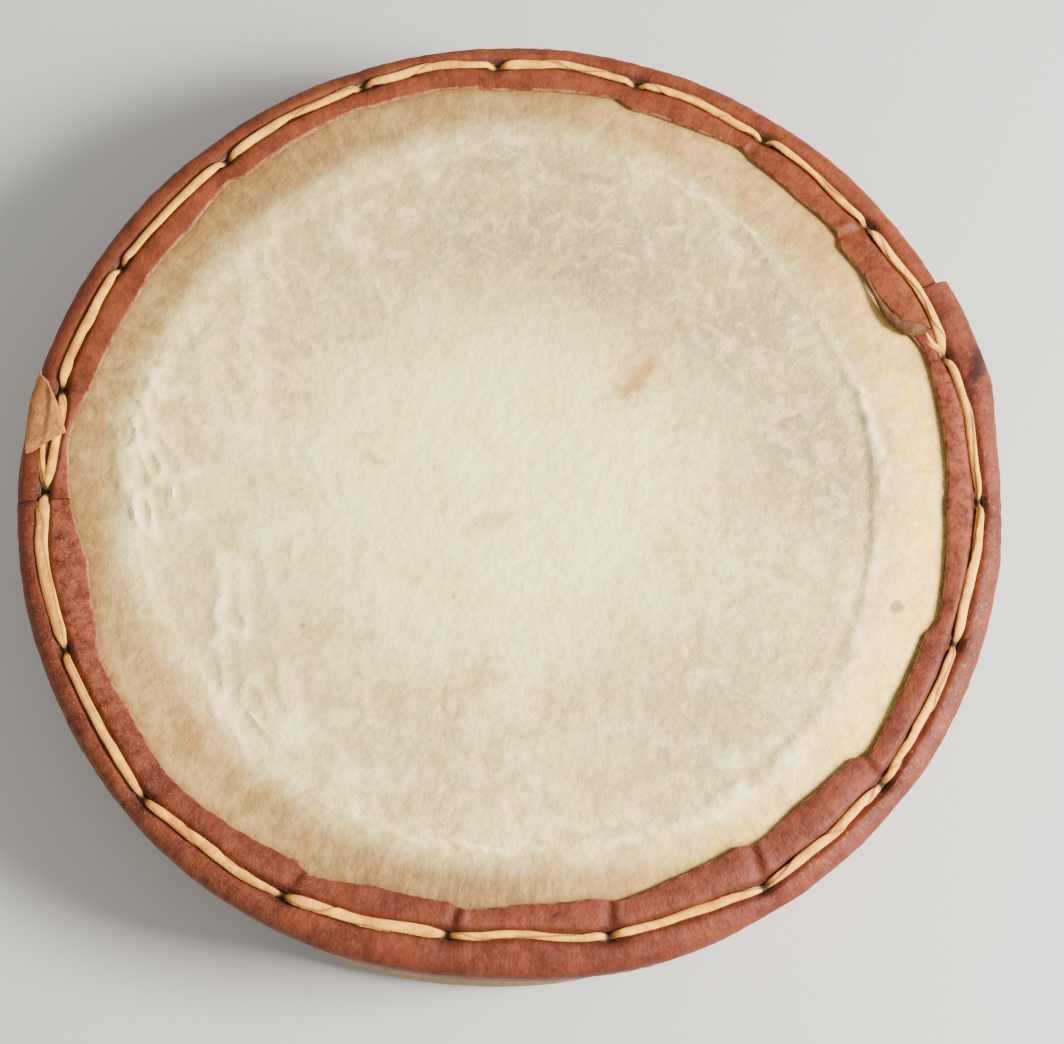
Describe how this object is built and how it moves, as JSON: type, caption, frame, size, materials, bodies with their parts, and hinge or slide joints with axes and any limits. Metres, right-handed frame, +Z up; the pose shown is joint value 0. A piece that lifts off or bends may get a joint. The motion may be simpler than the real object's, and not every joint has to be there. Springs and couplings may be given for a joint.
{
  "type": "ritual hand drum",
  "caption": "Shallow round hand drum: thick wooden ring open below, rawhide head, red leather strip folded over the rim and a pale thong laced along it.",
  "frame": {"origin": "middle of the foot of the wooden ring, on the surface that the drum lies on", "axes": "+Z up, out of the head; +Y towards the strip's upper half; +X towards its right-hand seam"},
  "size_m": [0.2838, 0.2808, 0.0602],
  "materials": {
    "carved_wood": "hand-carved, dry, unvarnished",
    "rawhide": "smooth dried rawhide, cloudy cream, soft sheen",
    "red_leather": "worn dyed leather, brick red, faint nap",
    "thong_leather": "undyed cut thong, twisted",
    "undyed_suede": "undyed flesh side, fuzzy"
  },
  "bodies": {
    "root": {"wooden_shell": "carved_wood", "drum_head": "rawhide", "binding_upper": "red_leather", "binding_lower": "red_leather", "lacing_upper": "thong_leather", "lacing_lower": "thong_leather", "thong_tab": "undyed_suede"}
  },
  "joints": []
}
